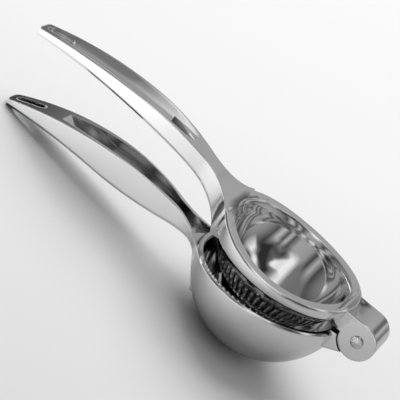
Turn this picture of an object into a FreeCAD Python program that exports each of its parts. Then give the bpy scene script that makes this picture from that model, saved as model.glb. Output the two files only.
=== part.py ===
# Hinged lemon squeezer: two cast levers joined by a riveted hinge.
# Each lever is drawn in its own frame: the origin is on the axis of its round cup or bowl at the height of
# the hinge pin, +X runs towards the hinge, the handle runs along -X and +Z is up. The whole tool then rests
# on the bowl and on the tip of the lower handle, opened a little as it is before a lemon half goes in.
import FreeCAD
import Part
import Sketcher
import math
import os

from FreeCAD import Placement, Rotation, Vector

# Driving sizes in millimetres and degrees: name, value, meaning.
SIZES = [
    ("rest_opening", 5.5, "angle between the levers as they rest"),
    # Ring and press cup
    ("cup_radius", 33.0, "mouth of the press cup"),
    ("cup_rim_height", 5.0, "height at which the cup wall turns vertical"),
    ("cup_depth", 26.0, "depth of the cup below that height"),
    ("cup_wall", 2.4, "wall of the pressing dome"),
    ("ring_width", 7.0, "mouth of the cup to the outside of the ring"),
    ("ring_lip_height", 4.6, "height at which the ring's side turns inwards"),
    ("ring_front_height", 10.2, "ring's top face at the hinge end"),
    ("skirt_step", 1.5, "mouth of the cup to the lower edge of the tapered skirt"),
    ("skirt_drop", 2.2, "skirt's lower edge below the pin"),
    ("rib_height", 1.2, "height of a rib on the dome"),
    ("rib_width", 1.7, "width of a rib"),
    ("rib_fall", 11.0, "length of a rib down the dome"),
    ("rib_count", 60.0, "ribs round the dome"),
    # Upper handle, side view
    ("neck_step", 10.0, "outside of the ring to where its curve meets the handle's"),
    ("neck_height", 18.2, "top of the neck there"),
    ("crest_back", 100.0, "highest place of the upper handle"),
    ("crest_height", 26.5, "its height"),
    ("press_tip_back", 163.5, "centre of the upper handle's rounded tip"),
    ("press_tip_height", 16.8, "its height"),
    ("press_tip_round", 2.3, "half the thickness of that tip"),
    ("under_root_step", 3.5, "outside of the ring to the underside's start in it"),
    ("under_root_drop", 0.6, "its depth below the pin"),
    ("under_neck_step", 34.0, "outside of the ring to the end of the underside's steep stretch"),
    ("under_neck_height", 14.2, "its height"),
    ("under_crest_back", 122.0, "highest place of the underside"),
    ("under_crest_height", 18.4, "its height"),
    # Plan of both handles
    ("grip_half", 10.0, "half the greatest width of a handle"),
    ("neck_half", 6.0, "half the width of the neck"),
    ("plan_neck_step", 21.0, "outside of the ring to the narrowest place of the neck"),
    ("tip_half", 5.6, "half the width at the tip"),
    ("flare_half", 19.0, "half the width where the neck meets the ring"),
    ("flare_step", 4.0, "outside of the ring to that place in it"),
    ("grip_bevel", 1.8, "bevel of the handles' lower edges"),
    # Flute and tongue in the upper handle's crown
    ("flute_radius", 13.6, "hollow of the flute across the handle"),
    ("flute_sweep", 516.0, "curve of the flute's floor along the handle"),
    ("flute_back", 98.0, "highest place of the flute's floor"),
    ("flute_height", 23.9, "its height"),
    ("flute_ridge_back", 85.0, "point of the ridge in the end of the flute"),
    ("flute_ridge_half", 4.6, "half the width of that ridge at the neck"),
    # Hanging slots
    ("slot_half", 2.7, "half the width of a hanging slot"),
    ("slot_length", 15.5, "length of a hanging slot"),
    ("slot_land", 4.2, "metal between a hanging slot and the tip"),
    # Bowl
    ("bowl_gap", 2.4, "skirt's lower edge to the bowl's mouth"),
    ("bowl_wall", 3.7, "wall of the bowl at its mouth"),
    ("bowl_floor_wall", 2.7, "wall of the bowl's floor"),
    ("bowl_centre_drop", 1.9, "centre of its round below the pin"),
    ("bowl_rim_drop", 3.6, "bowl's rim below the pin"),
    ("bowl_rim_bevel", 0.8, "bevels of the rim"),
    ("drain_radius", 2.2, "a drain hole"),
    ("drain_count", 8.0, "holes on the ring round the middle one"),
    ("drain_ring", 10.5, "radius of the ring of drain holes"),
    # Lower handle, side view
    ("low_root_step", 0.4, "outside of the bowl to the top edge's start"),
    ("low_crest_back", 99.0, "highest place of the lower handle"),
    ("low_crest_height", 8.3, "its height"),
    ("low_tip_back", 159.5, "centre of the lower handle's rounded tip"),
    ("low_tip_drop", 3.9, "its depth below the pin"),
    ("low_tip_round", 2.1, "half the thickness of that tip"),
    ("belly_step", 7.4, "outside of the bowl to the lowest place of the belly"),
    ("belly_drop", 8.2, "its depth below the pin"),
    ("belly_root_step", 10.6, "outside of the bowl to where the belly leaves it"),
    ("belly_root_drop", 24.0, "its depth below the pin"),
    ("swing_back", 105.0, "where the underside turns from belly to arch"),
    ("swing_drop", 6.2, "its depth below the pin"),
    ("swing_slope", 7.5, "slope of the underside there"),
    ("trough_wall", 1.7, "wall of the trough"),
    ("trough_floor", 2.2, "floor of the trough"),
    ("trough_end_half", 3.0, "half the width of its closed end"),
    ("trough_end_back", 136.5, "closed end of the trough"),
    # Hinge
    ("hinge_reach", 10.2, "outside of the bowl to the hinge pin"),
    ("hinge_half", 10.8, "half the width of the hinge"),
    ("ear_radius", 9.6, "round of the clevis ears"),
    ("strap_height", 9.6, "top of the strap between ring and ears"),
    ("tongue_radius", 6.9, "round of the tongue"),
    ("tongue_half", 4.0, "half the width of the tongue"),
    ("tongue_gap", 0.4, "clearance round the tongue and beside it"),
    ("ear_gap", 0.7, "clearance between the ears and the lug"),
    ("strap_drop", 1.2, "underside of that strap below the pin"),
    ("lug_top_drop", 2.6, "top of the lug below the pin"),
    ("lug_toe_drop", 13.8, "lowest place of the lug below the pin"),
    ("lug_toe_step", 6.1, "outside of the bowl to that place in its wall"),
    ("lug_front_angle", 65.2, "end of the lug's hollow front, below the pin's level"),
    ("strap_root", 2.3, "mouth of the cup to the strap's start in the ring"),
    ("tongue_root", 0.6, "tongue's start in the lug"),
    ("tongue_root_drop", 6.0, "its depth below the pin"),
    ("tongue_low_angle", 70.0, "where the tongue's root meets its round below"),
    ("tongue_top_angle", 11.5, "where it meets it above"),
    ("bridge_drop", 0.7, "height of the clevis bridge's edge above the pin"),
    ("pin_radius", 2.5, "shank of the rivet"),
    ("pin_clearance", 0.05, "running clearance of the tongue on the shank"),
    ("pin_head_radius", 3.2, "head of the rivet"),
    ("pin_head_bevel", 0.6, "bevel of that head"),
    ("pin_head_height", 1.0, "height of that head"),
]

# Sizes that follow from the driving ones, as formulas of the sheet.
DERIVED = [
    ("ring_radius", "cup_radius + ring_width"),
    ("skirt_radius", "cup_radius + skirt_step"),
    ("bowl_mouth", "skirt_radius + bowl_gap"),
    ("bowl_radius", "bowl_mouth + bowl_wall"),
    ("pin_reach", "bowl_radius + hinge_reach"),
    ("neck_back", "ring_radius + neck_step"),
    ("under_root_back", "ring_radius - under_root_step"),
    ("under_neck_back", "ring_radius + under_neck_step"),
    ("plan_neck_back", "ring_radius + plan_neck_step"),
    ("flare_back", "ring_radius - flare_step"),
    ("low_root_back", "bowl_radius + low_root_step"),
    ("belly_back", "bowl_radius + belly_step"),
    ("belly_root_back", "bowl_radius - belly_root_step"),
    ("lug_toe_reach", "bowl_radius - lug_toe_step"),
    ("cup_curve", "(cup_radius * cup_radius + cup_depth * cup_depth) / (2 * cup_depth)"),
    ("cup_floor_z", "cup_rim_height - cup_depth"),
    ("dome_curve", "cup_curve + cup_wall"),
    ("dome_floor_z", "cup_floor_z - cup_wall"),
    ("dome_centre_z", "dome_floor_z + dome_curve"),
    ("skirt_z", "-skirt_drop"),
    ("dome_top_radius", "sqrt(dome_curve * dome_curve - (dome_centre_z + skirt_drop) ^ 2)"),
    ("ring_top_z", "crest_height + cup_radius"),
    ("rib_low_z", "skirt_z - rib_fall"),
    ("rib_in", "dome_top_radius - cup_wall / 2"),
    ("rib_curve", "dome_curve + rib_height"),
    ("rib_top_radius", "sqrt(rib_curve * rib_curve - (dome_centre_z - skirt_z) ^ 2)"),
    ("rib_low_radius", "sqrt(rib_curve * rib_curve - (dome_centre_z - rib_low_z) ^ 2)"),
    ("rib_seat", "rib_low_radius - rib_height - cup_wall / 2"),
    ("neck_x", "-neck_back"),
    ("crest_x", "-crest_back"),
    ("press_tip_x", "-press_tip_back"),
    ("press_tip_top_z", "press_tip_height + press_tip_round"),
    ("press_tip_low_z", "press_tip_height - press_tip_round"),
    ("under_root_x", "-under_root_back"),
    ("under_root_z", "-under_root_drop"),
    ("under_neck_x", "-under_neck_back"),
    ("under_crest_x", "-under_crest_back"),
    # Curves of the upper handle: each arc leaves the next one's end in the same direction.
    ("rise", "atan((crest_height - neck_height) / (crest_back - neck_back))"),
    ("rise_curve", "(crest_back - neck_back) / cos(rise) / 2 / sin(rise)"),
    ("fall", "atan((crest_height - press_tip_top_z) / (press_tip_back - crest_back))"),
    ("fall_curve", "(press_tip_back - crest_back) / cos(fall) / 2 / sin(fall)"),
    ("saddle", "atan((neck_height - ring_front_height) / (neck_back + ring_radius))"),
    ("saddle_curve", "(neck_back + ring_radius) / cos(saddle) / 2 / sin(2 * rise - saddle)"),
    ("under_rise", "atan((under_crest_height - under_neck_height) / (under_crest_back - under_neck_back))"),
    ("under_rise_curve", "(under_crest_back - under_neck_back) / cos(under_rise) / 2 / sin(under_rise)"),
    ("root", "atan((under_neck_height + under_root_drop) / (under_neck_back - under_root_back))"),
    ("root_curve", "(under_neck_back - under_root_back) / cos(root) / 2 / sin(root - 2 * under_rise)"),
    ("under_fall", "atan((under_crest_height - press_tip_low_z) / (press_tip_back - under_crest_back))"),
    ("under_fall_curve", "(press_tip_back - under_crest_back) / cos(under_fall) / 2 / sin(under_fall)"),
    # Plan of the handles: the side bulges in one arc, and the flare at the neck continues it.
    ("plan_neck_x", "-plan_neck_back"),
    ("flare_x", "-flare_back"),
    ("bulge", "grip_half - (neck_half + tip_half) / 2"),
    ("press_side", "press_tip_back - plan_neck_back"),
    ("press_side_curve", "(press_side * press_side / 4 + bulge * bulge) / (2 * bulge)"),
    ("low_side", "low_tip_back - plan_neck_back"),
    ("low_side_curve", "(low_side * low_side / 4 + bulge * bulge) / (2 * bulge)"),
    ("flare", "atan((flare_half - neck_half) / (plan_neck_back - flare_back))"),
    ("flare_chord", "(plan_neck_back - flare_back) / cos(flare)"),
    ("press_flare_curve", "flare_chord / 2 / sin(flare + asin(press_side / 2 / press_side_curve))"),
    ("low_flare_curve", "flare_chord / 2 / sin(flare + asin(low_side / 2 / low_side_curve))"),
    ("end_curve", "tip_half * 2"),
    # Lower handle
    ("low_root_x", "-low_root_back"),
    ("low_root_z", "-(bowl_rim_drop + bowl_rim_bevel)"),
    ("low_crest_x", "-low_crest_back"),
    ("low_tip_x", "-low_tip_back"),
    ("low_tip_top_z", "low_tip_round - low_tip_drop"),
    ("low_tip_low_z", "-low_tip_round - low_tip_drop"),
    ("belly_x", "-belly_back"),
    ("belly_z", "-belly_drop"),
    ("belly_root_x", "-belly_root_back"),
    ("belly_root_z", "-belly_root_drop"),
    ("belly_in_x", "-belly_root_back / 2"),
    ("swing_x", "-swing_back"),
    ("swing_z", "-swing_drop"),
    ("low_rise", "atan((low_crest_height - low_root_z) / (low_crest_back - low_root_back))"),
    ("low_rise_curve", "(low_crest_back - low_root_back) / cos(low_rise) / 2 / sin(low_rise)"),
    ("low_fall", "atan((low_crest_height - low_tip_top_z) / (low_tip_back - low_crest_back))"),
    ("low_fall_curve", "(low_tip_back - low_crest_back) / cos(low_fall) / 2 / sin(low_fall)"),
    ("swing", "swing_slope * 1 deg"),
    ("belly", "atan((swing_z - belly_z) / (swing_back - belly_back))"),
    ("belly_curve", "(swing_back - belly_back) / cos(belly) / 2 / sin(swing - belly)"),
    ("arch", "atan((low_tip_low_z - swing_z) / (low_tip_back - swing_back))"),
    ("arch_curve", "(low_tip_back - swing_back) / cos(arch) / 2 / sin(swing - arch)"),
    ("belly_start", "2 * belly - swing"),
    ("haunch", "atan((belly_root_drop - belly_drop) / (belly_back - belly_root_back))"),
    ("haunch_curve", "(belly_back - belly_root_back) / cos(haunch) / 2 / sin(haunch - belly_start)"),
    # Trough
    ("trough_belly_z", "belly_z + trough_floor"),
    ("trough_swing_z", "swing_z + trough_floor"),
    ("trough_end_x", "-trough_end_back"),
    ("trough_top_z", "low_crest_height + trough_floor"),
    ("trough_neck_half", "neck_half - trough_wall"),
    ("trough_length", "trough_end_back - plan_neck_back"),
    ("trough_bulge", "grip_half - trough_wall - (trough_neck_half + trough_end_half) / 2"),
    ("trough_curve", "(trough_length * trough_length / 4 + trough_bulge * trough_bulge) / (2 * trough_bulge)"),
    ("trough_flare_half", "flare_half - trough_wall"),
    ("ridge_tip_x", "-flute_ridge_back"),
    # Hanging slots: centres of their round ends
    ("press_slot_x", "-(press_tip_back + press_tip_round - slot_land - slot_half)"),
    ("press_slot_end_x", "press_slot_x + slot_length - 2 * slot_half"),
    ("low_slot_x", "-(low_tip_back + low_tip_round - slot_land - slot_half)"),
    ("low_slot_end_x", "low_slot_x + slot_length - 2 * slot_half"),
    # Bowl
    ("bowl_floor_z", "-(bowl_centre_drop + bowl_radius)"),
    ("rim_z", "-bowl_rim_drop"),
    ("rim_low_z", "-(bowl_rim_drop + bowl_rim_bevel)"),
    ("rim_radius", "sqrt(bowl_radius ^ 2 - (bowl_rim_drop + bowl_rim_bevel - bowl_centre_drop) ^ 2)"),
    ("rim_outer", "rim_radius - bowl_rim_bevel"),
    ("rim_inner", "bowl_mouth + bowl_rim_bevel"),
    ("bowl_in_z", "bowl_floor_z + bowl_floor_wall"),
    ("bowl_depth", "rim_low_z - bowl_in_z"),
    ("bowl_in_curve", "(bowl_mouth * bowl_mouth + bowl_depth * bowl_depth) / (2 * bowl_depth)"),
    # Hinge
    ("strap_x", "cup_radius + strap_root"),
    ("slot_radius", "tongue_radius + tongue_gap"),
    ("strap_z", "-strap_drop"),
    ("slot_back_x", "pin_reach - lug_arc - tongue_gap"),
    ("slot_half_width", "tongue_half + tongue_gap"),
    ("slot_front_x", "pin_reach + ear_radius * 2"),
    ("slot_low_z", "-ear_radius * 2"),
    ("lug_top_z", "-lug_top_drop"),
    ("lug_toe_z", "-lug_toe_drop"),
    ("lug_arc", "ear_radius + ear_gap"),
    ("lug_heel_x", "pin_reach - sqrt(lug_arc ^ 2 - lug_top_drop ^ 2)"),
    ("lug_front_x", "pin_reach - lug_arc * cos(lug_front_angle * 1 deg)"),
    ("lug_front_z", "-lug_arc * sin(lug_front_angle * 1 deg)"),
    ("tongue_back_x", "pin_reach - lug_arc - tongue_root"),
    ("tongue_back_low_z", "-tongue_root_drop"),
    ("tongue_mid_x", "pin_reach - tongue_radius * cos(tongue_low_angle * 1 deg)"),
    ("tongue_mid_z", "-tongue_radius * sin(tongue_low_angle * 1 deg)"),
    ("tongue_top_x", "pin_reach - tongue_radius * cos(tongue_top_angle * 1 deg)"),
    ("tongue_top_z", "-tongue_radius * sin(tongue_top_angle * 1 deg)"),
    # Rest on the floor: a line that touches the bowl and the lower tip
    ("rest_span", "sqrt(low_tip_back ^ 2 + (low_tip_drop - bowl_centre_drop) ^ 2)"),
    ("rest_tilt", "asin((bowl_radius - low_tip_round) / rest_span)"
                  " - atan((low_tip_drop - bowl_centre_drop) / low_tip_back)"),
    ("press_tilt", "rest_tilt - rest_opening * 1 deg"),
    ("head_z", "hinge_half + pin_head_height"),
    ("head_bevel_z", "head_z - pin_head_bevel"),
    ("head_top_radius", "pin_head_radius - pin_head_bevel"),
    ("pin_z", "bowl_radius + bowl_centre_drop * cos(rest_tilt) + pin_reach * sin(rest_tilt)"),
]

doc = FreeCAD.newDocument("LemonSqueezer")
sheet = doc.addObject("Spreadsheet::Sheet", "Sizes")
for row, (name, value, meaning) in enumerate(SIZES, start=1):
    sheet.set("A%d" % row, name)
    sheet.set("B%d" % row, str(value))
    sheet.set("C%d" % row, meaning)
    sheet.setAlias("B%d" % row, name)
for row, (name, formula) in enumerate(DERIVED, start=len(SIZES) + 1):
    sheet.set("A%d" % row, name)
    sheet.set("B%d" % row, "=" + formula)
    sheet.setAlias("B%d" % row, name)
pin_ahead_row = len(SIZES) + len(DERIVED) + 1
sheet.set("A%d" % pin_ahead_row, "pin_ahead")
sheet.set("B%d" % pin_ahead_row, "0")
sheet.setAlias("B%d" % pin_ahead_row, "pin_ahead")
doc.recompute()


def size(name):
    """Number in the sheet for an alias, or for minus an alias."""
    if name.startswith("-"):
        return -size(name[1:])
    value = getattr(sheet, name)
    return float(getattr(value, "Value", value))


def bound(name):
    """Expression for an alias, or for minus an alias."""
    if name.startswith("-"):
        return "-Sizes." + name[1:]
    return "Sizes." + name


# An edge shorter than this, in millimetres, takes no bevel, and a face counts as a flank or an underside
# where this much of its normal points that way.
SHORT_EDGE = 3.0
STEEP = 0.8

SIDE = Placement(Vector(), Rotation(Vector(1, 0, 0), 90))
PLAN = Placement()


def place_point(sketch, geometry, end, corner, label):
    """Hold one end of a curve at a corner given by two aliases, or on an axis where one is '0'."""
    for axis, kind, name in ((0, "DistanceX", corner[0]), (1, "DistanceY", corner[1])):
        if name == "0":
            sketch.addConstraint(Sketcher.Constraint("PointOnObject", geometry, end, -2 if axis == 0 else -1))
            continue
        index = sketch.addConstraint(Sketcher.Constraint(kind, -1, 1, geometry, end, size(name)))
        sketch.renameConstraint(index, "%s_%s" % (label, "xy"[axis]))
        sketch.setExpression("Constraints.%s_%s" % (label, "xy"[axis]), bound(name))


def corner_point(corner):
    return Vector(*[0.0 if name == "0" else size(name) for name in corner], 0.0)


def outline(sketch, corners, curves=None):
    """Closed outline through corners. curves maps a corner's number to the arc that leaves it:
    ('left' or 'right', radius alias) by the side its centre lies on, or ('half', x alias of its centre)."""
    curves = curves or {}
    ends = []
    for number, corner in enumerate(corners):
        first = corner_point(corner)
        last = corner_point(corners[(number + 1) % len(corners)])
        label = "p%d_%d" % (len(sketch.Geometry), number)
        if number not in curves:
            index = sketch.addGeometry(Part.LineSegment(first, last))
            ends.append((index, 1, 2))
            continue
        side, name = curves[number]
        chord = last - first
        middle = (first + last) * 0.5
        normal = Vector(-chord.y, chord.x, 0).normalize()
        if side == "half":
            centre, radius, turn = middle, chord.Length / 2, 1
        else:
            radius = size(name)
            turn = 1 if side == "left" else -1
            centre = middle + normal * (turn * math.sqrt(max(radius ** 2 - chord.Length ** 2 / 4, 0)))
        start, end = (first, last) if turn > 0 else (last, first)
        angles = [math.atan2(point.y - centre.y, point.x - centre.x) for point in (start, end)]
        if angles[1] <= angles[0]:
            angles[1] += 2 * math.pi
        circle = Part.Circle(centre, Vector(0, 0, 1), radius)
        index = sketch.addGeometry(Part.ArcOfCircle(circle, angles[0], angles[1]))
        ends.append((index, 1, 2) if turn > 0 else (index, 2, 1))
        if side == "half":
            held = sketch.addConstraint(Sketcher.Constraint("DistanceX", -1, 1, index, 3, size(name)))
        else:
            held = sketch.addConstraint(Sketcher.Constraint("Radius", index, radius))
        sketch.renameConstraint(held, label + "_curve")
        sketch.setExpression("Constraints.%s_curve" % label, bound(name))
    for number, (index, start, end) in enumerate(ends):
        following = ends[(number + 1) % len(ends)]
        sketch.addConstraint(Sketcher.Constraint("Coincident", index, end, following[0], following[1]))
        place_point(sketch, index, start, corners[number], "p%d_%d" % (index, number))
    return sketch


def free_sketch(name, placement, corners, curves=None):
    sketch = doc.addObject("Sketcher::SketchObject", name)
    sketch.Placement = placement
    return outline(sketch, corners, curves)


def body_sketch(body, name, role, corners, curves=None):
    sketch = body.newObject("Sketcher::SketchObject", name)
    plane = [item for item in body.Origin.OriginFeatures if item.Role == role][0]
    sketch.AttachmentSupport = (plane, [""])
    sketch.MapMode = "FlatFace"
    if corners:
        outline(sketch, corners, curves)
    return sketch


def circle_in(sketch, x_name, y_name, radius_name, label):
    centre = corner_point((x_name, y_name))
    index = sketch.addGeometry(Part.Circle(centre, Vector(0, 0, 1), size(radius_name)))
    held = sketch.addConstraint(Sketcher.Constraint("Radius", index, size(radius_name)))
    sketch.renameConstraint(held, label + "_radius")
    sketch.setExpression("Constraints.%s_radius" % label, bound(radius_name))
    place_point(sketch, index, 3, (x_name, y_name), label)


def slab(name, sketch, direction, forward, back=None):
    """Straight extrusion of a sketch: one way, or the same both ways when back is left out."""
    solid = doc.addObject("Part::Extrusion", name)
    solid.Base = sketch
    solid.DirMode = "Custom"
    solid.Dir = direction
    solid.Solid = True
    if back is None:
        solid.Symmetric = True
        solid.setExpression("LengthFwd", forward)
    else:
        solid.setExpression("LengthFwd", forward)
        solid.setExpression("LengthRev", back)
    return solid


def turned(name, sketch):
    """Full turn of a sketch in the side plane about the upright axis."""
    solid = doc.addObject("Part::Revolution", name)
    solid.Source = sketch
    solid.Axis = Vector(0, 0, 1)
    solid.Base = Vector()
    solid.Angle = 360
    solid.Solid = True
    return solid


def combine(kind, name, pieces):
    solid = doc.addObject(kind, name)
    solid.Shapes = pieces
    solid.Refine = False
    return solid


def cut(name, base, tool):
    solid = doc.addObject("Part::Cut", name)
    solid.Base = base
    solid.Tool = tool
    solid.Refine = False
    return solid


def face_normal(face, point):
    u, v = face.Surface.parameter(point)
    return face.normalAt(u, v)


def edges_where(shape, test):
    """Numbers of the edges whose middle point and two face normals pass a test."""
    found = []
    for number, edge in enumerate(shape.Edges, start=1):
        faces = shape.ancestorsOfType(edge, Part.Face)
        if len(faces) != 2 or edge.Length < SHORT_EDGE:
            continue
        point = edge.valueAt((edge.FirstParameter + edge.LastParameter) / 2)
        if test(point, face_normal(faces[0], point), face_normal(faces[1], point)):
            found.append(number)
    return found


def bevelled(name, base, test, amount):
    """Chamfer of the edges that pass a test."""
    doc.recompute()
    numbers = edges_where(base.Shape, test)
    solid = doc.addObject("Part::Chamfer", name)
    solid.Base = base
    solid.Edges = [(number, amount, amount) for number in numbers]
    return solid


def across(cylinder, half):
    """Lay a cylinder along the hinge axis, centred across the tool."""
    cylinder.Placement = Placement(Vector(), Rotation(Vector(1, 0, 0), 90))
    cylinder.setExpression("Placement.Base.x", "Sizes.pin_reach")
    cylinder.setExpression("Placement.Base.y", "Sizes." + half)


def handle_blank(prefix, side_sketch, side_curve, flare_curve):
    """Side view of a handle, cut to its plan. The plan's sides bulge, and its neck flares to the ring."""
    side = slab(prefix + "_side", side_sketch, Vector(0, 1, 0), "Sizes.flare_half * 4")
    tip_name = prefix + "_tip_x"
    plan = free_sketch(prefix + "_plan", PLAN, [
        ("0", "-flare_half"), ("0", "flare_half"), ("flare_x", "flare_half"), ("plan_neck_x", "neck_half"),
        (tip_name, "tip_half"), (tip_name, "-tip_half"), ("plan_neck_x", "-neck_half"),
        ("flare_x", "-flare_half")],
        {2: ("right", flare_curve), 3: ("left", side_curve), 4: ("left", "end_curve"),
         5: ("left", side_curve), 6: ("right", flare_curve)})
    plan_solid = slab(prefix + "_plan_solid", plan, Vector(0, 0, 1), "Sizes.bowl_radius * 4")
    return combine("Part::MultiCommon", prefix + "_blank", [side, plan_solid])


# Ring, skirt and press dome, turned in one piece, with the ribs round the dome
cup_body = doc.addObject("PartDesign::Body", "cup_body")
cup_profile = body_sketch(cup_body, "cup_profile", "XZ_Plane", [
    ("0", "dome_floor_z"), ("dome_top_radius", "skirt_z"), ("skirt_radius", "skirt_z"),
    ("ring_radius", "ring_lip_height"), ("ring_radius", "ring_top_z"), ("0", "ring_top_z")],
    {0: ("left", "dome_curve")})
cup_turn = cup_body.newObject("PartDesign::Revolution", "cup_turn")
cup_turn.Profile = cup_profile
cup_turn.ReferenceAxis = (cup_profile, ["V_Axis"])
cup_turn.Angle = 360
rib_profile = body_sketch(cup_body, "rib_profile", "XZ_Plane", [
    ("rib_top_radius", "skirt_z"), ("rib_in", "skirt_z"), ("rib_seat", "rib_low_z"),
    ("rib_low_radius", "rib_low_z")], {3: ("left", "rib_curve")})
rib = cup_body.newObject("PartDesign::Pad", "rib")
rib.Profile = rib_profile
rib.SideType = "Symmetric"
rib.setExpression("Length", "Sizes.rib_width")
doc.recompute()
ribs = cup_body.newObject("PartDesign::PolarPattern", "ribs")
ribs.Originals = [rib]
ribs.Axis = (cup_profile, ["V_Axis"])
ribs.Angle = 360
ribs.setExpression("Occurrences", "Sizes.rib_count")
cup_body.Tip = ribs
doc.recompute()

# The ring's top face is a saddle: one long arc seen from the side
saddle_profile = free_sketch("saddle_profile", SIDE, [
    ("neck_x", "neck_height"), ("ring_radius", "ring_front_height"), ("ring_radius", "ring_top_z"),
    ("neck_x", "ring_top_z")], {0: ("left", "saddle_curve")})
saddle_slab = slab("saddle_slab", saddle_profile, Vector(0, 1, 0), "Sizes.ring_radius * 3")
cup_space_profile = free_sketch("cup_space_profile", SIDE, [
    ("0", "cup_floor_z"), ("cup_radius", "cup_rim_height"), ("cup_radius", "ring_top_z"), ("0", "ring_top_z")],
    {0: ("left", "cup_curve")})
cup_space = turned("cup_space", cup_space_profile)
ring = cut("ring", cup_body, saddle_slab)

# Upper handle: its side view runs on from the ring's arc
press_side_profile = free_sketch("press_side_profile", SIDE, [
    ("ring_radius", "under_root_z"), ("ring_radius", "ring_front_height"), ("neck_x", "neck_height"),
    ("crest_x", "crest_height"), ("press_tip_x", "press_tip_top_z"), ("press_tip_x", "press_tip_low_z"),
    ("under_crest_x", "under_crest_height"), ("under_neck_x", "under_neck_height"),
    ("under_root_x", "under_root_z")],
    {1: ("right", "saddle_curve"), 2: ("left", "rise_curve"), 3: ("left", "fall_curve"),
     4: ("half", "press_tip_x"), 5: ("right", "under_fall_curve"), 6: ("right", "under_rise_curve"),
     7: ("right", "root_curve")})
press_blank = handle_blank("press", press_side_profile, "press_side_curve", "press_flare_curve")


def lower_flank_edge(point, first, second):
    """Long lower edges of a handle, where a flank meets the underside."""
    down = min(first.z, second.z)
    side = max(abs(first.y), abs(second.y))
    return down < -STEEP and side > STEEP and point.x < size("neck_x")


press_bevelled = bevelled("press_bevelled", press_blank, lower_flank_edge, size("grip_bevel"))

# Flute along the crown, whose floor is a shallow arc, and the ridge that points into its end
flute = doc.addObject("Part::Torus", "flute")
flute.setExpression("Radius1", "Sizes.flute_sweep + Sizes.flute_radius")
flute.setExpression("Radius2", "Sizes.flute_radius")
flute.Placement = Placement(Vector(), Rotation(Vector(1, 0, 0), 90))
flute.setExpression("Placement.Base.x", "-Sizes.flute_back")
flute.setExpression("Placement.Base.z", "Sizes.flute_height - Sizes.flute_sweep")
press_fluted = cut("press_fluted", press_bevelled, flute)
ridge_plan = free_sketch("ridge_plan", PLAN, [
    ("ridge_tip_x", "0"), ("plan_neck_x", "-flute_ridge_half"), ("plan_neck_x", "flute_ridge_half")])
ridge_plan_solid = slab("ridge_plan_solid", ridge_plan, Vector(0, 0, 1), "Sizes.bowl_radius * 4")
ridge = combine("Part::MultiCommon", "ridge", [press_bevelled, ridge_plan_solid])


def hanging_slot(prefix):
    """Long hole with round ends through the tip of a handle."""
    slot = free_sketch(prefix + "_slot", PLAN, [
        (prefix + "_slot_x", "slot_half"), (prefix + "_slot_x", "-slot_half"),
        (prefix + "_slot_end_x", "-slot_half"), (prefix + "_slot_end_x", "slot_half")],
        {0: ("half", prefix + "_slot_x"), 2: ("half", prefix + "_slot_end_x")})
    return slab(prefix + "_slot_space", slot, Vector(0, 0, 1), "Sizes.bowl_radius * 4")


press_slot = hanging_slot("press")

# Clevis: a strap that leaves the ring and two ears round the pin, open below for the tongue
ear = doc.addObject("Part::Cylinder", "ear")
ear.setExpression("Radius", "Sizes.ear_radius")
ear.setExpression("Height", "Sizes.hinge_half * 2")
strap_profile = free_sketch("strap_profile", SIDE, [
    ("strap_x", "strap_z"), ("pin_reach", "strap_z"), ("pin_reach", "strap_height"), ("strap_x", "strap_height")])
strap = slab("strap", strap_profile, Vector(0, 1, 0), "Sizes.hinge_half * 2")
tongue_space = doc.addObject("Part::Cylinder", "tongue_space")
tongue_space.setExpression("Radius", "Sizes.slot_radius")
tongue_space.setExpression("Height", "Sizes.slot_half_width * 2")
throat_profile = free_sketch("throat_profile", SIDE, [
    ("slot_back_x", "slot_low_z"), ("slot_front_x", "slot_low_z"), ("slot_front_x", "bridge_drop"),
    ("slot_back_x", "bridge_drop")])
throat = slab("throat", throat_profile, Vector(0, 1, 0), "Sizes.slot_half_width * 2")
ear_bore = doc.addObject("Part::Cylinder", "ear_bore")
ear_bore.setExpression("Radius", "Sizes.pin_radius")
ear_bore.setExpression("Height", "Sizes.hinge_half * 4")
across(ear, "hinge_half")
across(tongue_space, "slot_half_width")
across(ear_bore, "hinge_half * 2")

press_whole = combine("Part::MultiFuse", "press_whole", [ring, press_fluted, ridge, ear, strap])
press_spaces = combine("Part::MultiFuse", "press_spaces", [cup_space, press_slot, tongue_space, throat, ear_bore])
press_lever = cut("press_lever", press_whole, press_spaces)
doc.recompute()


# Bowl: a turned shell with a bevelled rim and drain holes through its floor
bowl_body = doc.addObject("PartDesign::Body", "bowl_body")
bowl_profile = body_sketch(bowl_body, "bowl_profile", "XZ_Plane", [
    ("0", "bowl_floor_z"), ("rim_radius", "rim_low_z"), ("rim_outer", "rim_z"), ("rim_inner", "rim_z"),
    ("bowl_mouth", "rim_low_z"), ("0", "bowl_in_z")],
    {0: ("left", "bowl_radius"), 4: ("right", "bowl_in_curve")})
bowl_turn = bowl_body.newObject("PartDesign::Revolution", "bowl_turn")
bowl_turn.Profile = bowl_profile
bowl_turn.ReferenceAxis = (bowl_profile, ["V_Axis"])
bowl_turn.Angle = 360
middle_sketch = body_sketch(bowl_body, "drain_middle_plan", "XY_Plane", [])
circle_in(middle_sketch, "0", "0", "drain_radius", "drain_middle")
middle_hole = bowl_body.newObject("PartDesign::Pocket", "drain_middle_hole")
middle_hole.Profile = middle_sketch
middle_hole.Type = "ThroughAll"
ring_sketch = body_sketch(bowl_body, "drain_ring_plan", "XY_Plane", [])
circle_in(ring_sketch, "drain_ring", "0", "drain_radius", "drain_ring")
ring_hole = bowl_body.newObject("PartDesign::Pocket", "drain_ring_hole")
ring_hole.Profile = ring_sketch
ring_hole.Type = "ThroughAll"
doc.recompute()
drain_holes = bowl_body.newObject("PartDesign::PolarPattern", "drain_holes")
drain_holes.Originals = [ring_hole]
drain_holes.Axis = (bowl_profile, ["V_Axis"])
drain_holes.Angle = 360
drain_holes.setExpression("Occurrences", "Sizes.drain_count")
bowl_body.Tip = drain_holes
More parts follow.
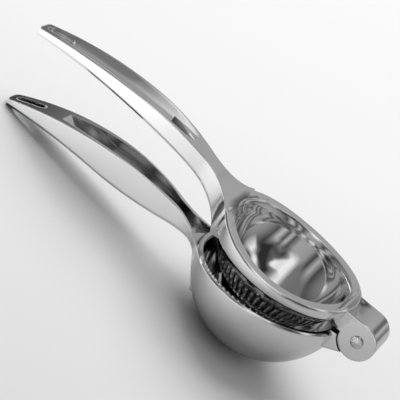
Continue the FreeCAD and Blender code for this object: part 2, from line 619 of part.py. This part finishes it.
doc.recompute()

# Space inside the bowl, open upwards, which keeps handle and lug out of it
bowl_space_profile = free_sketch("bowl_space_profile", SIDE, [
    ("0", "bowl_in_z"), ("bowl_mouth", "rim_low_z"), ("rim_inner", "rim_z"), ("rim_inner", "ring_top_z"),
    ("0", "ring_top_z")], {0: ("left", "bowl_in_curve")})
bowl_space = turned("bowl_space", bowl_space_profile)

# Lower handle and the trough that hollows it from above
low_side_profile = free_sketch("low_side_profile", SIDE, [
    ("belly_in_x", "belly_root_z"), ("belly_in_x", "low_root_z"), ("low_root_x", "low_root_z"),
    ("low_crest_x", "low_crest_height"), ("low_tip_x", "low_tip_top_z"), ("low_tip_x", "low_tip_low_z"),
    ("swing_x", "swing_z"), ("belly_x", "belly_z"), ("belly_root_x", "belly_root_z")],
    {2: ("left", "low_rise_curve"), 3: ("left", "low_fall_curve"), 4: ("half", "low_tip_x"),
     5: ("right", "arch_curve"), 6: ("left", "belly_curve"), 7: ("right", "haunch_curve")})
low_blank = handle_blank("low", low_side_profile, "low_side_curve", "low_flare_curve")
low_bevelled = bevelled("low_bevelled", low_blank, lower_flank_edge, size("grip_bevel"))
trough_side_profile = free_sketch("trough_side_profile", SIDE, [
    ("belly_in_x", "trough_belly_z"), ("belly_in_x", "trough_top_z"), ("trough_end_x", "trough_top_z"),
    ("trough_end_x", "low_crest_height"), ("swing_x", "trough_swing_z"), ("belly_x", "trough_belly_z")],
    {4: ("left", "belly_curve")})
trough_side = slab("trough_side", trough_side_profile, Vector(0, 1, 0), "Sizes.flare_half * 4")
trough_plan_profile = free_sketch("trough_plan_profile", PLAN, [
    ("belly_in_x", "-trough_flare_half"), ("belly_in_x", "trough_flare_half"), ("flare_x", "trough_flare_half"),
    ("plan_neck_x", "trough_neck_half"), ("trough_end_x", "trough_end_half"),
    ("trough_end_x", "-trough_end_half"), ("plan_neck_x", "-trough_neck_half"),
    ("flare_x", "-trough_flare_half")],
    {2: ("right", "low_flare_curve"), 3: ("left", "trough_curve"), 5: ("left", "trough_curve"),
     6: ("right", "low_flare_curve")})
trough_plan = slab("trough_plan", trough_plan_profile, Vector(0, 0, 1), "Sizes.bowl_radius * 4")
trough = combine("Part::MultiCommon", "trough", [trough_side, trough_plan])
low_handle = cut("low_handle", low_bevelled, trough)

# Lug with a hollow round front that follows the ears, and the tongue between them
lug_profile = free_sketch("lug_profile", SIDE, [
    ("lug_heel_x", "lug_top_z"), ("bowl_mouth", "lug_top_z"), ("lug_toe_reach", "lug_toe_z"),
    ("lug_front_x", "lug_front_z")], {3: ("right", "lug_arc")})
lug = slab("lug", lug_profile, Vector(0, 1, 0), "Sizes.hinge_half * 2")
neck_profile = free_sketch("neck_profile", SIDE, [
    ("tongue_back_x", "lug_top_z"), ("tongue_back_x", "tongue_back_low_z"), ("tongue_mid_x", "tongue_mid_z"),
    ("pin_reach", "0"), ("tongue_top_x", "tongue_top_z")])
tongue_neck = slab("tongue_neck", neck_profile, Vector(0, 1, 0), "Sizes.tongue_half * 2")
tongue = doc.addObject("Part::Cylinder", "tongue")
tongue.setExpression("Radius", "Sizes.tongue_radius")
tongue.setExpression("Height", "Sizes.tongue_half * 2")
across(tongue, "tongue_half")
tongue_bore = doc.addObject("Part::Cylinder", "tongue_bore")
tongue_bore.setExpression("Radius", "Sizes.pin_radius + Sizes.pin_clearance")
tongue_bore.setExpression("Height", "Sizes.hinge_half * 4")
across(tongue_bore, "hinge_half * 2")
low_slot = hanging_slot("low")
bowl_whole = combine("Part::MultiFuse", "bowl_whole", [bowl_body, low_handle, lug, tongue_neck, tongue])
bowl_spaces = combine("Part::MultiFuse", "bowl_spaces", [bowl_space, tongue_bore, low_slot])
bowl_lever = cut("bowl_lever", bowl_whole, bowl_spaces)

# Rivet: shank and two bevelled heads, turned about its own axis
pin_profile = free_sketch("pin_profile", SIDE, [
    ("0", "-head_z"), ("head_top_radius", "-head_z"), ("pin_head_radius", "-head_bevel_z"),
    ("pin_head_radius", "-hinge_half"), ("pin_radius", "-hinge_half"), ("pin_radius", "hinge_half"),
    ("pin_head_radius", "hinge_half"), ("pin_head_radius", "head_bevel_z"), ("head_top_radius", "head_z"),
    ("0", "head_z")])
hinge_pin = turned("hinge_pin", pin_profile)

# Rest pose: each piece turns about the pin, which stands over the floor and ahead of the middle
for piece, angle in ((press_lever, "press_tilt"), (bowl_lever, "rest_tilt")):
    piece.Placement = Placement(Vector(), Rotation(Vector(0, -1, 0), 1))
    piece.setExpression("Placement.Rotation.Angle", "Sizes." + angle)
    piece.setExpression("Placement.Base.x", "Sizes.pin_ahead - Sizes.pin_reach * cos(Sizes.%s)" % angle)
    piece.setExpression("Placement.Base.z", "Sizes.pin_z - Sizes.pin_reach * sin(Sizes.%s)" % angle)
hinge_pin.Placement = Placement(Vector(), Rotation(Vector(1, 0, 0), 90))
hinge_pin.setExpression("Placement.Base.x", "Sizes.pin_ahead")
hinge_pin.setExpression("Placement.Base.z", "Sizes.pin_z")
doc.recompute()

# The frame's origin lies under the middle of the whole tool
pieces = [press_lever, bowl_lever, hinge_pin]
boxes = [piece.Shape.optimalBoundingBox(False, False) for piece in pieces]
low_x = min(box.XMin for box in boxes)
high_x = max(box.XMax for box in boxes)
sheet.set("B%d" % pin_ahead_row, str(-(low_x + high_x) / 2))
doc.recompute()

broken = [item.Name for item in doc.Objects if "Invalid" in item.State or "Error" in item.State]
if broken:
    raise RuntimeError("features failed: " + ", ".join(broken))
os.makedirs("parts", exist_ok=True)
for piece in pieces:
    shape = piece.Shape
    if shape.isNull() or not shape.isValid() or len(shape.Solids) != 1:
        raise RuntimeError(piece.Label + " is not one valid solid")
    piece.Label = piece.Name
    shape.exportStep("parts/%s.step" % piece.Label)
    box = shape.optimalBoundingBox(False, False)
    print("%s: %.1f cm3, %d faces, x %.1f to %.1f, y %.1f to %.1f, z %.1f to %.1f" % (
        piece.Label, shape.Volume / 1000, len(shape.Faces), box.XMin, box.XMax, box.YMin, box.YMax,
        box.ZMin, box.ZMax))
print("pin at x %.3f, z %.3f" % (size("pin_ahead"), size("pin_z")))
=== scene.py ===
import math

import bmesh
import bpy
from mathutils import Euler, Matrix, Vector


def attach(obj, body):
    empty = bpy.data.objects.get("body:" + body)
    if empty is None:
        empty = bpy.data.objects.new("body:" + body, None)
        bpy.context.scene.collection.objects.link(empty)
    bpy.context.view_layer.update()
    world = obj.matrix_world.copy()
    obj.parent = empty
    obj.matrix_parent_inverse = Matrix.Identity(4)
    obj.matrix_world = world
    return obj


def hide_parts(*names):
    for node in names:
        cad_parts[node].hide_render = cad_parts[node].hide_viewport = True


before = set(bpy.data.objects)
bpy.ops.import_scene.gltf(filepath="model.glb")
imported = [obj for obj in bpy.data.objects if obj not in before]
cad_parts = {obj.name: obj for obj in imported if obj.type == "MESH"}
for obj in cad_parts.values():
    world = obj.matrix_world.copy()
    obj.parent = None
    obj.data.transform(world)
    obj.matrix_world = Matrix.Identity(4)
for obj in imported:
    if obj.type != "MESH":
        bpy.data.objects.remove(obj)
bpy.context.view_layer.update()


# Lengths are in metres and angles in degrees. Greys run from 0 to 1, and a ramp is a list of
# (position, grey) pairs.

# Camera, at the photograph's viewing angle. The photograph is turned about its own axis, so the
# squeezer stands level on the floor here and the camera is rolled.
LENS_MM, SENSOR_MM = 154.84, 36.0
NEAREST, FARTHEST = 0.05, 50.0
CAMERA_PLACE = (0.07866, -0.73944, 0.41630)
CAMERA_TURN = (54.883, -38.275, 29.434)

# Plating.
SMEAR = {"Scale": 38.0, "Detail": 3.0, "Roughness": 0.55}
HAZE_LOW, HAZE_HIGH = 0.35, 0.75
TONE_LOW, TONE_HIGH, TONE_DROP = 0.30, 0.70, 0.96
LINE_STRETCH = (60.0, 900.0, 900.0)
LINES = {"Scale": 1.0, "Detail": 2.0, "Roughness": 0.5}
LINE_ROUGHNESS = [(0.60, 0.0), (0.80, 0.04)]
# Painted shade in recesses: where ambient occlusion finds gaps and hollows, the plating's colour
# goes nearly black, and its roughness rises.
RECESS_REACH, RECESS_SAMPLES = 0.012, 8
RECESS_SHADE_RAMP = [(0.0, 1.0), (0.36, 0.92), (0.68, 0.0)]
RECESS_ROUGHNESS = 0.32
RECESS_PAINTED_SHADE = (0.035, 0.035, 0.037, 1.0)
EDGE_RADIUS, EDGE_SAMPLES = 0.0011, 6
WAVES = {"Scale": 55.0, "Detail": 1.0, "Roughness": 0.4}

# The press lever where it lies in the frame: the pin, the reach from it to the middle of the ring
# and the tilt of the ring. The folds at the ring's edges are over FOLD, and WALL_TOP above the pin.
PIN = Vector((0.103365, 0.0, 0.054091))
PIN_REACH = 0.0508
PRESS_TILT = math.radians(7.7484)
MOUTH_RADIUS, RING_RADIUS = 0.0330, 0.0400
MOUTH_CHAMFER, RING_CHAMFER = 0.0013, 0.0008
WALL_TOP = 0.0052
FOLD = math.radians(35.0)

# The rivet's heads: the radius of the dome's flat middle and the width of its rounding.
DOME_FLAT, DOME_ROUND, DOME_SEGMENTS = 0.0011, 0.0009, 3

# Meshes: points closer than WELD are one, a point is on a radius within FIT and on a level within
# LEVEL, faces that fold by less than SAME_FLAT are one, the rim of a head folds by more than
# RIM_FOLD, and an edge stays sharp from a fold of SHARP.
WELD, FIT, LEVEL = 0.000004, 0.00012, 0.00002
SAME_FLAT, RIM_FOLD, SHARP = math.radians(1.0), math.radians(0.01), math.radians(28.0)

# Floor. The paper carries painted shade, darker toward the bottom of the view. The plating sees a
# floor of its own, a painted reflection, dark toward the hinge and bright toward the upper tip,
# where it glows.
FLOOR_HALF = 6.0
# Painted shade: the paper is darker toward the bottom of the view and brighter toward its top.
PAPER_WAY, PAPER_LOW, PAPER_HIGH = (-0.65, 0.76, 0.0), -0.16, 0.16
PAPER_AND_SHADE = [(0.0, 0.68), (1.0, 0.80)]
PAPER_ROUGHNESS, PAPER_SPECULAR = 0.9, 0.1
MIRRORED_WAY, MIRRORED_LOW, MIRRORED_HIGH = (-1.0, -0.8, 0.0), -0.02, 0.22
MIRRORED = [(0.0, 0.43), (0.12, 0.52), (0.30, 0.68), (0.45, 0.74), (0.75, 0.95), (1.0, 1.0)]
GLOW = [(0.45, 0.0), (1.0, 0.26)]

# Room, as the plating sees it: walls in upright bands from one end to the other, and a ceiling with
# rows of lamps at one end and soft patches at the other.
WALLS = [(0.0, 0.25), (0.10, 0.06), (0.17, 0.45), (0.24, 0.05), (0.32, 0.33), (0.42, 0.38),
         (0.53, 0.40), (0.57, 0.24), (0.63, 0.08), (0.68, 0.50), (0.73, 0.06), (0.80, 0.55),
         (0.86, 0.08), (1.0, 0.40)]
PATCHES = {"Scale": 1.9, "Detail": 1.0, "Roughness": 0.5}
PATCH_SHIFT = (3.1, 1.7, 0.4)
PATCH_GREYS = [(0.40, 0.03), (0.52, 0.14), (0.62, 0.95)]
ROWS = [(0.0, 0.14), (0.31, 0.20), (0.38, 0.90), (0.44, 1.0), (0.50, 0.60)]
ROWS_TO_PATCHES = [(0.38, 0.0), (0.56, 1.0)]
WALL_END, CEILING_START = 0.50, 0.72

# Light on everything else: an even room, a white backdrop and one large lamp behind.
WHITE = (1.0, 1.0, 1.0, 1.0)
ROOM_LIGHT, ROOM_SEEN, BACKDROP_LIGHT = 0.43, 1.0, 1.0
LAMP_PLACE, LAMP_AIM = Vector((-0.55, 0.80, 2.15)), Vector((0.0, 0.0, 0.03))
LAMP_SIDE, LAMP_WATTS = 2.6, 58.0


camera_data = bpy.data.cameras.new("camera")
camera_data.lens = LENS_MM
camera_data.sensor_width = SENSOR_MM
camera_data.clip_start = NEAREST
camera_data.clip_end = FARTHEST
camera = bpy.data.objects.new("camera", camera_data)
camera.location = CAMERA_PLACE
camera.rotation_euler = Euler([math.radians(angle) for angle in CAMERA_TURN], "XYZ")
bpy.context.collection.objects.link(camera)
bpy.context.scene.camera = camera
bpy.context.scene.view_settings.view_transform = "Standard"


class Tree:
    """A node tree, with a short way to add and join its nodes."""

    def __init__(self, tree):
        self.tree = tree
        tree.nodes.clear()

    def add(self, kind, values=None, **settings):
        node = self.tree.nodes.new(kind)
        for name, value in settings.items():
            setattr(node, name, value)
        for name, value in (values or {}).items():
            node.inputs[name].default_value = value
        return node

    def join(self, source, target):
        self.tree.links.new(source, target)

    def noise(self, place, values):
        """Soft noise at a place, from 0 to 1."""
        node = self.add("ShaderNodeTexNoise", values)
        self.join(place, node.inputs["Vector"])
        return node.outputs["Fac"]

    def ramp(self, stops, source):
        """A grey from a ramp."""
        node = self.add("ShaderNodeValToRGB")
        elements = node.color_ramp.elements
        while len(elements) < len(stops):
            elements.new(0.5)
        for element, (position, grey) in zip(elements, stops):
            element.position = position
            element.color = (grey, grey, grey, 1.0)
        self.join(source, node.inputs["Fac"])
        return node.outputs["Color"]

    def spread(self, source, low, high):
        """A value that runs from 0 at low to 1 at high."""
        node = self.add("ShaderNodeMapRange", {"From Min": low, "From Max": high})
        self.join(source, node.inputs["Value"])
        return node.outputs["Result"]

    def along(self, place, way, low, high):
        """How far a place lies along a way, from 0 at low to 1 at high."""
        node = self.add("ShaderNodeVectorMath", operation="DOT_PRODUCT")
        node.inputs[1].default_value = way
        self.join(place, node.inputs[0])
        return self.spread(node.outputs["Value"], low, high)

    def blend(self, factor, first, second):
        """A colour between two others."""
        node = self.add("ShaderNodeMix", data_type="RGBA")
        self.join(factor, node.inputs["Factor"])
        self.join(first, node.inputs["A"])
        self.join(second, node.inputs["B"])
        return node.outputs["Result"]

    def light(self, strength, colour=None):
        """A background of one strength, white or of a colour."""
        node = self.add("ShaderNodeBackground", {"Color": WHITE, "Strength": strength})
        if colour is not None:
            self.join(colour, node.inputs["Color"])
        return node.outputs["Background"]

    def either(self, factor, first, second):
        """One of two shaders."""
        node = self.add("ShaderNodeMixShader")
        self.join(factor, node.inputs["Fac"])
        self.join(first, node.inputs[1])
        self.join(second, node.inputs[2])
        return node.outputs["Shader"]

    def end(self, kind, shader):
        """The output of the tree."""
        self.join(shader, self.add(kind).inputs["Surface"])


def material(name):
    """A new material and its empty node tree."""
    made = bpy.data.materials.new(name)
    made.use_nodes = True
    return made, Tree(made.node_tree)


def chrome(name, bright, low_roughness, high_roughness, wave_height):
    """Bright plating over a polished casting: soft smears, fine polishing lines, a faint waviness,
    softly broken edges, and rougher plating down in the gaps, where no polishing wheel reaches.
    The gaps also get painted shade: the colour goes nearly black where ambient occlusion is deep."""
    made, tree = material(name)
    place = tree.add("ShaderNodeTexCoord").outputs["Object"]

    smear = tree.noise(place, SMEAR)
    haze = tree.ramp([(HAZE_LOW, low_roughness), (HAZE_HIGH, high_roughness)], smear)
    stretch = tree.add("ShaderNodeMapping")
    stretch.inputs["Scale"].default_value = LINE_STRETCH
    tree.join(place, stretch.inputs["Vector"])
    hairline = tree.ramp(LINE_ROUGHNESS, tree.noise(stretch.outputs["Vector"], LINES))
    polished = tree.add("ShaderNodeMath", operation="ADD")
    tree.join(haze, polished.inputs[0])
    tree.join(hairline, polished.inputs[1])

    # Painted shade: deep in the gaps and the trough, ambient occlusion turns the colour nearly
    # black and the plating rougher.
    recess = tree.add("ShaderNodeAmbientOcclusion", {"Distance": RECESS_REACH},
                      samples=RECESS_SAMPLES)
    painted_recess_shade = tree.ramp(RECESS_SHADE_RAMP, recess.outputs["AO"])
    roughness = tree.add("ShaderNodeMix", {"B": RECESS_ROUGHNESS})
    tree.join(painted_recess_shade, roughness.inputs["Factor"])
    tree.join(polished.outputs[0], roughness.inputs["A"])
    tone = tree.ramp([(TONE_LOW, bright * TONE_DROP), (TONE_HIGH, bright)], smear)
    colour = tree.add("ShaderNodeMix", data_type="RGBA")
    colour.inputs["B"].default_value = RECESS_PAINTED_SHADE
    tree.join(painted_recess_shade, colour.inputs["Factor"])
    tree.join(tone, colour.inputs["A"])

    edge = tree.add("ShaderNodeBevel", {"Radius": EDGE_RADIUS}, samples=EDGE_SAMPLES)
    bump = tree.add("ShaderNodeBump", {"Strength": 1.0, "Distance": wave_height})
    tree.join(tree.noise(place, WAVES), bump.inputs["Height"])
    tree.join(edge.outputs["Normal"], bump.inputs["Normal"])

    shader = tree.add("ShaderNodeBsdfPrincipled", {"Metallic": 1.0})
    tree.join(colour.outputs["Result"], shader.inputs["Base Color"])
    tree.join(roughness.outputs["Result"], shader.inputs["Roughness"])
    tree.join(bump.outputs["Normal"], shader.inputs["Normal"])
    tree.end("ShaderNodeOutputMaterial", shader.outputs["BSDF"])
    return made


chrome_plate = chrome("chrome_plate", bright=0.87, low_roughness=0.03, high_roughness=0.09,
                      wave_height=0.00010)
pin_plate = chrome("pin_plate", bright=0.80, low_roughness=0.08, high_roughness=0.16,
                   wave_height=0.00004)

# The bowl lever is the CAD solid itself.
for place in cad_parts["bowl_lever"].material_slots:
    place.material = chrome_plate


def opened(node_name):
    """A welded working copy of a CAD node's mesh."""
    work = bmesh.new()
    work.from_mesh(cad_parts[node_name].data)
    bmesh.ops.remove_doubles(work, verts=work.verts, dist=WELD)
    return work


def bevelled(work, edges, width, segments):
    """Edges of a working copy cut back by a width, flat or in a few steps."""
    bmesh.ops.bevel(work, geom=edges, offset=width, offset_type="OFFSET", segments=segments,
                    profile=0.5, affect="EDGES", clamp_overlap=False)


def closed(work, name, look):
    """A finished object from a working copy."""
    mesh = bpy.data.meshes.new(name)
    work.to_mesh(mesh)
    work.free()
    mesh.polygons.foreach_set("use_smooth", [True] * len(mesh.polygons))
    mesh.set_sharp_from_angle(angle=SHARP)
    mesh.materials.clear()
    mesh.materials.append(look)
    made = bpy.data.objects.new(name, mesh)
    bpy.context.collection.objects.link(made)
    return made


def in_lever(point):
    """Distance from the cup's axis and height above the pin, for a point of the press lever."""
    away = point - PIN
    along = away.x * math.cos(PRESS_TILT) + away.z * math.sin(PRESS_TILT) + PIN_REACH
    height = away.z * math.cos(PRESS_TILT) - away.x * math.sin(PRESS_TILT)
    return math.hypot(along, away.y), height


def ring_edges(work, radius):
    """Convex folds of the ring's top face at one radius."""
    found = []
    for edge in work.edges:
        if len(edge.link_faces) != 2 or not edge.is_convex or edge.calc_face_angle() < FOLD:
            continue
        places = [in_lever(vertex.co) for vertex in edge.verts]
        if all(abs(away - radius) < FIT and height > WALL_TOP for away, height in places):
            found.append(edge)
    return found


# The press lever gets the chamfers of its ring: one on the mouth of the cup and one on the outer
# edge.
lever = opened("press_lever")
for radius, width in ((MOUTH_RADIUS, MOUTH_CHAMFER), (RING_RADIUS, RING_CHAMFER)):
    bevelled(lever, ring_edges(lever, radius), width, segments=1)
press = closed(lever, "press_lever_finished", chrome_plate)
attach(press, "press")
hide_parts("press_lever")

# The rivet's flat heads become low domes of the same height.
rivet = opened("hinge_pin")
bmesh.ops.dissolve_limit(rivet, angle_limit=SAME_FLAT, verts=rivet.verts, edges=rivet.edges)
head_end = max(abs(vertex.co.y) for vertex in rivet.verts)
crown = [vertex for vertex in rivet.verts if abs(vertex.co.y) > head_end - LEVEL]
for vertex in crown:
    across = Vector((vertex.co.x - PIN.x, 0.0, vertex.co.z - PIN.z))
    if across.length > DOME_FLAT:
        vertex.co += across * (DOME_FLAT / across.length - 1.0)
rims = [edge for edge in rivet.edges
        if all(vertex in crown for vertex in edge.verts) and edge.calc_face_angle() > RIM_FOLD]
bevelled(rivet, rims, DOME_ROUND, segments=DOME_SEGMENTS)
pin = closed(rivet, "hinge_pin_finished", pin_plate)
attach(pin, "press")
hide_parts("hinge_pin")


# The floor on which the squeezer lies.
floor_mesh = bpy.data.meshes.new("floor")
floor_mesh.from_pydata([(-FLOOR_HALF, -FLOOR_HALF, 0), (FLOOR_HALF, -FLOOR_HALF, 0),
                        (FLOOR_HALF, FLOOR_HALF, 0), (-FLOOR_HALF, FLOOR_HALF, 0)], [],
                       [(0, 1, 2, 3)])
floor = bpy.data.objects.new("floor", floor_mesh)
bpy.context.collection.objects.link(floor)

floor_look, tree = material("floor_look")
place = tree.add("ShaderNodeTexCoord").outputs["Object"]
# Painted shade: the paper darkens toward the bottom of the view.
paper_and_shade = tree.ramp(PAPER_AND_SHADE, tree.along(place, PAPER_WAY, PAPER_LOW, PAPER_HIGH))
# Painted reflection: for the plating alone the floor is darker toward the hinge, brighter toward
# the upper tip, and glows there.
toward_tip = tree.along(place, MIRRORED_WAY, MIRRORED_LOW, MIRRORED_HIGH)
for_plating = tree.add("ShaderNodeLightPath").outputs["Is Glossy Ray"]
ground = tree.blend(for_plating, paper_and_shade, tree.ramp(MIRRORED, toward_tip))
matt = tree.add("ShaderNodeBsdfPrincipled",
                {"Roughness": PAPER_ROUGHNESS, "Specular IOR Level": PAPER_SPECULAR})
tree.join(ground, matt.inputs["Base Color"])
tree.join(tree.ramp(GLOW, toward_tip), matt.inputs["Emission Color"])
tree.join(for_plating, matt.inputs["Emission Strength"])
tree.end("ShaderNodeOutputMaterial", matt.outputs["BSDF"])
floor_mesh.materials.append(floor_look)


# The room. The camera sees the white backdrop, the plating sees the room's walls and ceiling, and
# all else gets its even light.
world = bpy.data.worlds.new("studio")
bpy.context.scene.world = world
world.use_nodes = True
tree = Tree(world.node_tree)
direction = tree.add("ShaderNodeTexCoord").outputs["Generated"]
parts = tree.add("ShaderNodeSeparateXYZ")
tree.join(direction, parts.inputs["Vector"])
end_to_end = tree.spread(parts.outputs["X"], -1.0, 1.0)
upward = tree.spread(parts.outputs["Z"], WALL_END, CEILING_START)
shift = tree.add("ShaderNodeVectorMath", operation="ADD")
shift.inputs[1].default_value = PATCH_SHIFT
tree.join(direction, shift.inputs[0])
patches = tree.ramp(PATCH_GREYS, tree.noise(shift.outputs["Vector"], PATCHES))
ceiling = tree.blend(tree.ramp(ROWS_TO_PATCHES, end_to_end), tree.ramp(ROWS, end_to_end), patches)
room = tree.blend(upward, tree.ramp(WALLS, end_to_end), ceiling)
path = tree.add("ShaderNodeLightPath")
unseen = tree.either(path.outputs["Is Glossy Ray"], tree.light(ROOM_LIGHT),
                     tree.light(ROOM_SEEN, room))
tree.end("ShaderNodeOutputWorld",
         tree.either(path.outputs["Is Camera Ray"], unseen, tree.light(BACKDROP_LIGHT)))

# The lamp, which the plating doesn't mirror.
lamp_data = bpy.data.lights.new("softbox_back", "AREA")
lamp_data.shape = "RECTANGLE"
lamp_data.size = lamp_data.size_y = LAMP_SIDE
lamp_data.energy = LAMP_WATTS
lamp = bpy.data.objects.new("softbox_back", lamp_data)
lamp.location = LAMP_PLACE
lamp.rotation_euler = (LAMP_AIM - LAMP_PLACE).to_track_quat("-Z", "Y").to_euler()
lamp.visible_glossy = False
bpy.context.collection.objects.link(lamp)
